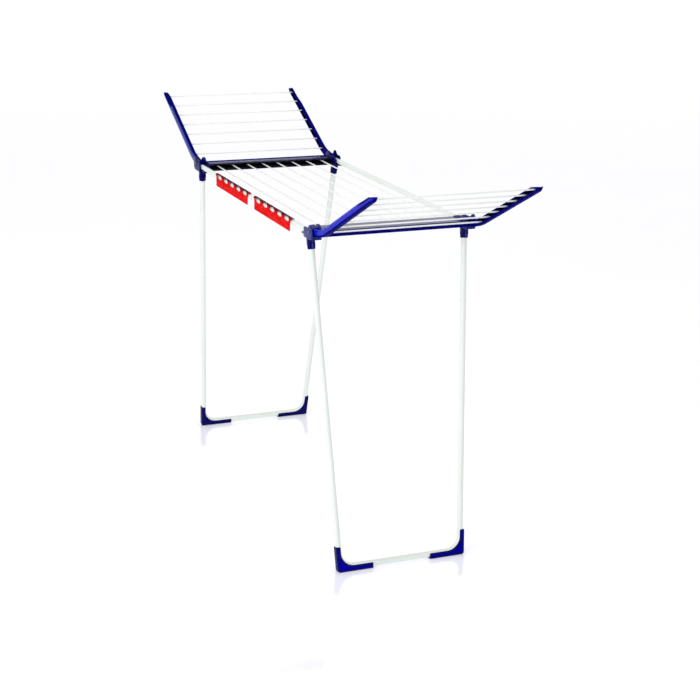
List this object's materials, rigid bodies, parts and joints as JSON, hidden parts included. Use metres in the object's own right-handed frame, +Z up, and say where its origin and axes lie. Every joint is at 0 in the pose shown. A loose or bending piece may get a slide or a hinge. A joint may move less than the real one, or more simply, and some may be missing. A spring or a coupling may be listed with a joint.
{
  "type": "winged clothes airer",
  "caption": "Free-standing indoor clothes airer with raised wings at both ends, splayed tube leg frames that fold, drying lines and sliding clip-on holders.",
  "frame": {"origin": "on the floor under the middle of the airer", "axes": "+X from the far end to the near end along the side tubes, +Y across towards the side tube without holders, +Z up"},
  "size_m": [1.767, 0.4706, 1.0737],
  "materials": {
    "white_steel": "white powder coat on steel tube",
    "line_coating": "white plastic coating on steel wire",
    "navy_plastic": "moulded, satin to gloss",
    "blue_plastic": "moulded, gloss",
    "red_plastic": "moulded, gloss",
    "pin_steel": "plain steel rivet"
  },
  "bodies": {
    "frame": {"bracket_far_left": "navy_plastic", "bracket_far_right": "navy_plastic", "bracket_near_left": "navy_plastic", "bracket_near_right": "navy_plastic", "centre_line_1": "line_coating", "centre_line_2": "line_coating", "centre_line_3": "line_coating", "centre_line_4": "line_coating", "centre_line_5": "line_coating", "centre_line_6": "line_coating", "centre_line_7": "line_coating", "centre_line_8": "line_coating", "crossbar_far": "navy_plastic", "crossbar_near": "navy_plastic", "leg_pin_far_left": "pin_steel", "leg_pin_far_right": "pin_steel", "leg_pin_near_left": "pin_steel", "leg_pin_near_right": "pin_steel", "side_tube_left": "white_steel", "side_tube_right": "white_steel", "wing_pin_far_left": "pin_steel", "wing_pin_far_right": "pin_steel", "wing_pin_near_left": "pin_steel", "wing_pin_near_right": "pin_steel"},
    "wing_near": {"wing_arm_near_left": "blue_plastic", "wing_arm_near_right": "blue_plastic", "wing_line_near_1": "line_coating", "wing_line_near_2": "line_coating", "wing_line_near_3": "line_coating", "wing_line_near_4": "line_coating", "wing_line_near_5": "line_coating", "wing_line_near_6": "line_coating", "wing_line_near_7": "line_coating", "wing_rail_near": "navy_plastic"},
    "wing_far": {"wing_arm_far_left": "blue_plastic", "wing_arm_far_right": "blue_plastic", "wing_line_far_1": "line_coating", "wing_line_far_2": "line_coating", "wing_line_far_3": "line_coating", "wing_line_far_4": "line_coating", "wing_line_far_5": "line_coating", "wing_line_far_6": "line_coating", "wing_line_far_7": "line_coating", "wing_rail_far": "navy_plastic"},
    "leg_near": {"foot_near_left": "navy_plastic", "foot_near_right": "navy_plastic", "leg_frame_near": "white_steel", "leg_sleeve_near_left": "navy_plastic", "leg_sleeve_near_right": "navy_plastic"},
    "leg_far": {"foot_far_left": "navy_plastic", "foot_far_right": "navy_plastic", "leg_frame_far": "white_steel", "leg_sleeve_far_left": "navy_plastic", "leg_sleeve_far_right": "navy_plastic"},
    "holder_1": {"holder_1": "red_plastic"},
    "holder_2": {"holder_2": "red_plastic"}
  },
  "joints": [
    {"name": "wing_near_fold", "type": "hinge", "parent": "frame", "child": "wing_near", "pos_m": [0.4945, 0, 0.907], "axis": [0, -1, 0], "range_deg": [0, 154]},
    {"name": "wing_far_fold", "type": "hinge", "parent": "frame", "child": "wing_far", "pos_m": [-0.4945, 0, 0.907], "axis": [0, 1, 0], "range_deg": [0, 154]},
    {"name": "leg_near_fold", "type": "hinge", "parent": "frame", "child": "leg_near", "pos_m": [0.47295, 0, 0.8785], "axis": [0, 1, 0], "range_deg": [0, 96.2]},
    {"name": "leg_far_fold", "type": "hinge", "parent": "frame", "child": "leg_far", "pos_m": [-0.47295, 0, 0.8785], "axis": [0, -1, 0], "range_deg": [0, 99.1]},
    {"name": "holder_1_slide", "type": "slide", "parent": "frame", "child": "holder_1", "axis": [1, 0, 0], "range_m": [-0.153, 0.0225]},
    {"name": "holder_2_slide", "type": "slide", "parent": "frame", "child": "holder_2", "axis": [1, 0, 0], "range_m": [-0.0225, 0.101]}
  ]
}
